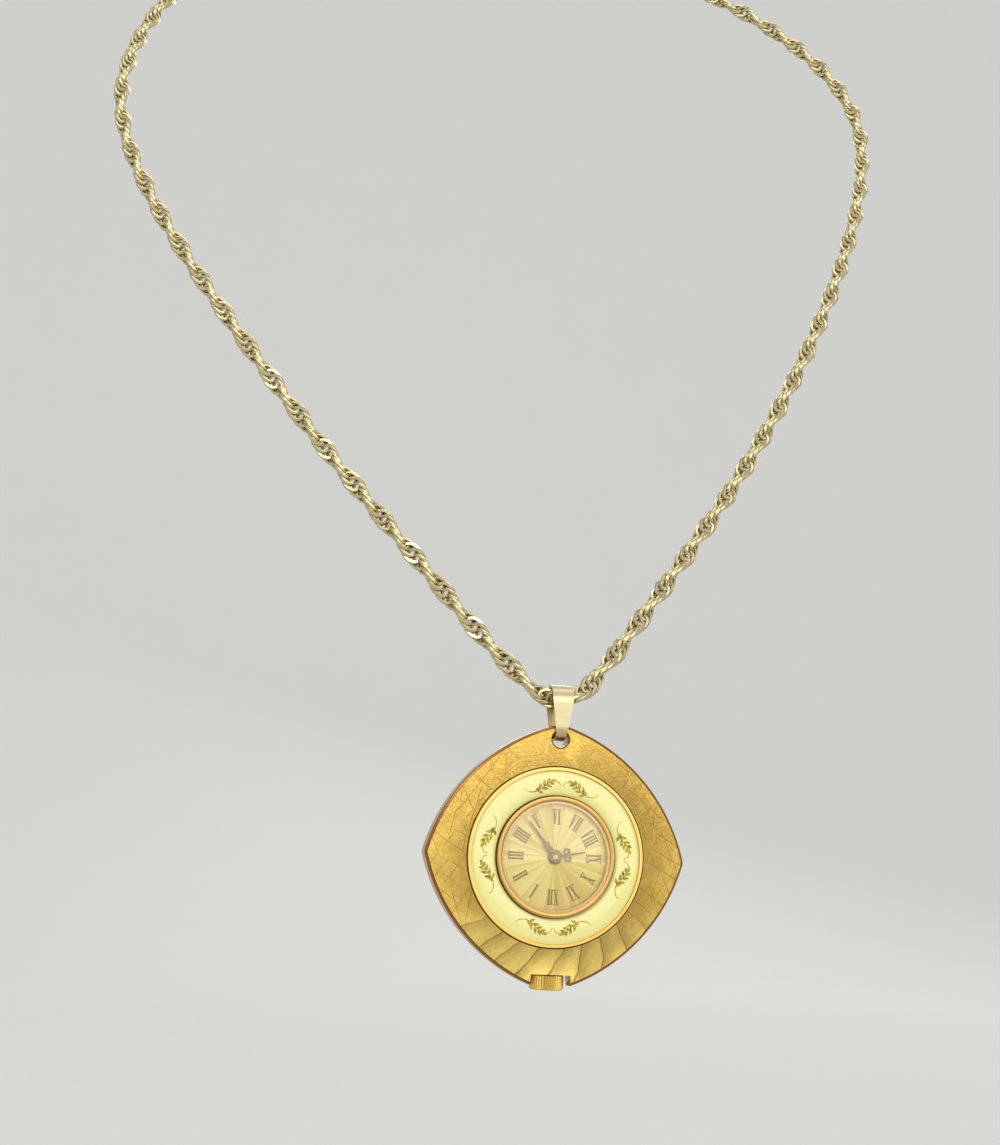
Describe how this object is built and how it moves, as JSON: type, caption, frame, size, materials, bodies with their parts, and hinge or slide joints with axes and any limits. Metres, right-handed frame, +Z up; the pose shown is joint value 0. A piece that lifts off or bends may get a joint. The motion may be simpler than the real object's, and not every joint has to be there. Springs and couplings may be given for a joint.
{
  "type": "pendant watch on a chain",
  "caption": "Pendant watch in a gilt cushion case with an enamelled ring, hung by a folded bail on a loose rope chain with a spring ring clasp; hand-wound movement inside.",
  "frame": {"origin": "middle of the neck opening that the necklace goes round, level with the sides of the neck", "axes": "+Z up, along the hanging watch from its crown to its bail; the dial faces -Y; +X to the viewer's right"},
  "size_m": [0.1414, 0.1137, 0.2098],
  "materials": {
    "chain_gold": "polished pale gilt",
    "pale_gold": "brushed pale gilt",
    "case_gold": "engraved gilt",
    "enamel": "glossy cream enamel with painted sprigs",
    "glass": "clear domed",
    "dial_gold": "sunburst champagne",
    "hand_bronze": "dark gilt",
    "movement_gilt": "frosted gilt",
    "movement_brass": "polished",
    "screw_steel": "polished steel",
    "spring_steel": "blued steel",
    "rubber": "matt black"
  },
  "bodies": {
    "necklace": {"chain": "chain_gold", "clasp_ring": "chain_gold", "end_ring_left": "chain_gold", "end_ring_right": "chain_gold"},
    "clasp_tongue": {"clasp_trigger": "chain_gold"},
    "bail": {"bail": "pale_gold"},
    "watch": {"case_body": "case_gold", "enamel_ring": "enamel", "crystal_ring": "case_gold", "crystal": "glass", "dial": "dial_gold", "case_back": "case_gold", "casing_ring": "movement_brass", "main_plate": "movement_gilt", "barrel_bridge": "movement_gilt", "train_bridge": "movement_gilt", "balance_cock": "movement_gilt", "pallet_bridge": "movement_gilt", "bridge_screws": "screw_steel", "crown_wheel_screw": "screw_steel", "click_spring": "spring_steel", "hairspring": "spring_steel", "crown_tube": "movement_brass"},
    "minute_hand": {"minute_hand": "hand_bronze", "cannon_pinion": "screw_steel"},
    "hour_hand": {"hour_hand": "hand_bronze", "hour_wheel": "movement_brass"},
    "minute_wheel": {"minute_wheel": "movement_brass"},
    "setting_wheel": {"setting_wheel": "screw_steel"},
    "fourth_wheel": {"fourth_wheel": "movement_brass"},
    "third_wheel": {"third_wheel": "movement_brass"},
    "centre_wheel": {"centre_wheel": "movement_brass"},
    "escape_wheel": {"escape_wheel": "screw_steel"},
    "barrel": {"barrel": "movement_brass", "barrel_cover": "movement_brass", "mainspring": "spring_steel"},
    "pallet_fork": {"pallet_fork": "screw_steel"},
    "balance": {"balance_wheel": "movement_brass"},
    "crown_slide": {"crown_gasket": "rubber"},
    "crown": {"crown": "case_gold", "winding_stem": "screw_steel"},
    "clutch": {"clutch": "screw_steel"},
    "winding_pinion": {"winding_pinion": "screw_steel"},
    "crown_wheel": {"crown_wheel": "screw_steel"},
    "ratchet": {"ratchet_wheel": "screw_steel", "ratchet_screw": "screw_steel", "barrel_arbor": "screw_steel"},
    "setting_lever": {"setting_lever": "screw_steel"},
    "yoke": {"yoke": "screw_steel"},
    "click": {"click": "screw_steel"}
  },
  "joints": [
    {"name": "clasp_tongue_slide", "type": "hinge", "parent": "necklace", "child": "clasp_tongue", "pos_m": [-0.00106, 0.0425, 0.0516], "axis": [0, 1, 0], "range_deg": [0, 42]},
    {"name": "bail_swing", "type": "hinge", "parent": "necklace", "child": "bail", "pos_m": [0, -0.066, -0.1134], "axis": [1, 0, 0], "range_deg": [-80, 80]},
    {"name": "watch_swing", "type": "hinge", "parent": "bail", "child": "watch", "pos_m": [0, -0.066, -0.1192], "axis": [0, 1, 0], "range_deg": [-40, 40]},
    {"name": "minute_hand_turn", "type": "hinge", "parent": "watch", "child": "minute_hand", "pos_m": [0, -0.067, -0.136], "axis": [0, 1, 0], "continuous": true},
    {"name": "hour_hand_turn", "type": "hinge", "parent": "watch", "child": "hour_hand", "pos_m": [0, -0.067, -0.136], "axis": [0, 1, 0], "continuous": true},
    {"name": "minute_wheel_turn", "type": "hinge", "parent": "watch", "child": "minute_wheel", "pos_m": [0.00164, -0.066, -0.13714], "axis": [0, 1, 0], "continuous": true},
    {"name": "setting_wheel_turn", "type": "hinge", "parent": "watch", "child": "setting_wheel", "pos_m": [0, -0.0658, -0.13875], "axis": [0, 1, 0], "continuous": true},
    {"name": "fourth_wheel_turn", "type": "hinge", "parent": "watch", "child": "fourth_wheel", "pos_m": [0.00023, -0.06455, -0.13147], "axis": [0, 1, 0], "continuous": true},
    {"name": "third_wheel_turn", "type": "hinge", "parent": "watch", "child": "third_wheel", "pos_m": [-0.00092, -0.06455, -0.13346], "axis": [0, 1, 0], "continuous": true},
    {"name": "centre_wheel_turn", "type": "hinge", "parent": "watch", "child": "centre_wheel", "pos_m": [0, -0.06455, -0.136], "axis": [0, 1, 0], "continuous": true},
    {"name": "escape_wheel_turn", "type": "hinge", "parent": "watch", "child": "escape_wheel", "pos_m": [0.00254, -0.06455, -0.13147], "axis": [0, 1, 0], "continuous": true},
    {"name": "barrel_turn", "type": "hinge", "parent": "watch", "child": "barrel", "pos_m": [-0.0026, -0.06455, -0.13765], "axis": [0, 1, 0], "continuous": true},
    {"name": "pallet_fork_rock", "type": "hinge", "parent": "watch", "child": "pallet_fork", "pos_m": [0.00342, -0.06455, -0.1331], "axis": [0, 1, 0], "range_deg": [-5, 5]},
    {"name": "balance_swing", "type": "hinge", "parent": "watch", "child": "balance", "pos_m": [0.0045, -0.06455, -0.1351], "axis": [0, 1, 0], "range_deg": [-270, 270]},
    {"name": "crown_pull", "type": "slide", "parent": "watch", "child": "crown_slide", "axis": [0, 0, -1], "range_m": [0, 0.0007]},
    {"name": "crown_turn", "type": "hinge", "parent": "crown_slide", "child": "crown", "pos_m": [0, -0.0651, -0.146], "axis": [0, 0, 1], "continuous": true},
    {"name": "clutch_slide", "type": "slide", "parent": "crown", "child": "clutch", "axis": [0, 0, 1], "range_m": [0, 0.00105]},
    {"name": "winding_pinion_turn", "type": "hinge", "parent": "watch", "child": "winding_pinion", "pos_m": [0, -0.0651, -0.146], "axis": [0, 0, 1], "continuous": true},
    {"name": "crown_wheel_turn", "type": "hinge", "parent": "watch", "child": "crown_wheel", "pos_m": [0, -0.06455, -0.13973], "axis": [0, 1, 0], "continuous": true},
    {"name": "ratchet_turn", "type": "hinge", "parent": "watch", "child": "ratchet", "pos_m": [-0.0026, -0.06455, -0.13765], "axis": [0, 1, 0], "continuous": true},
    {"name": "setting_lever_turn", "type": "hinge", "parent": "watch", "child": "setting_lever", "pos_m": [0.002, -0.0663, -0.1425], "axis": [0, -1, 0], "range_deg": [0, 21]},
    {"name": "yoke_turn", "type": "hinge", "parent": "watch", "child": "yoke", "pos_m": [-0.0025, -0.0663, -0.14075], "axis": [0, -1, 0], "range_deg": [0, 8.12]},
    {"name": "click_turn", "type": "hinge", "parent": "watch", "child": "click", "pos_m": [-0.00297, -0.06455, -0.14024], "axis": [0, -1, 0], "range_deg": [0, 12]}
  ],
  "couplings": [
    {"joint": "hour_hand_turn", "follows": "minute_hand_turn", "ratio": 0.083333},
    {"joint": "minute_wheel_turn", "follows": "minute_hand_turn", "ratio": -0.33333},
    {"joint": "setting_wheel_turn", "follows": "minute_hand_turn", "ratio": 0.625},
    {"joint": "third_wheel_turn", "follows": "fourth_wheel_turn", "ratio": -0.13333},
    {"joint": "centre_wheel_turn", "follows": "fourth_wheel_turn", "ratio": 0.016667},
    {"joint": "escape_wheel_turn", "follows": "fourth_wheel_turn", "ratio": -10},
    {"joint": "barrel_turn", "follows": "fourth_wheel_turn", "ratio": -0.0027778},
    {"joint": "winding_pinion_turn", "follows": "crown_turn", "ratio": 1},
    {"joint": "crown_wheel_turn", "follows": "crown_turn", "ratio": 0.58333},
    {"joint": "ratchet_turn", "follows": "crown_turn", "ratio": -0.38889},
    {"joint": "clutch_slide", "follows": "crown_pull", "ratio": 1.5},
    {"joint": "setting_lever_turn", "follows": "crown_pull", "rad_per_m": 523.55},
    {"joint": "yoke_turn", "follows": "crown_pull", "rad_per_m": 202.44}
  ]
}
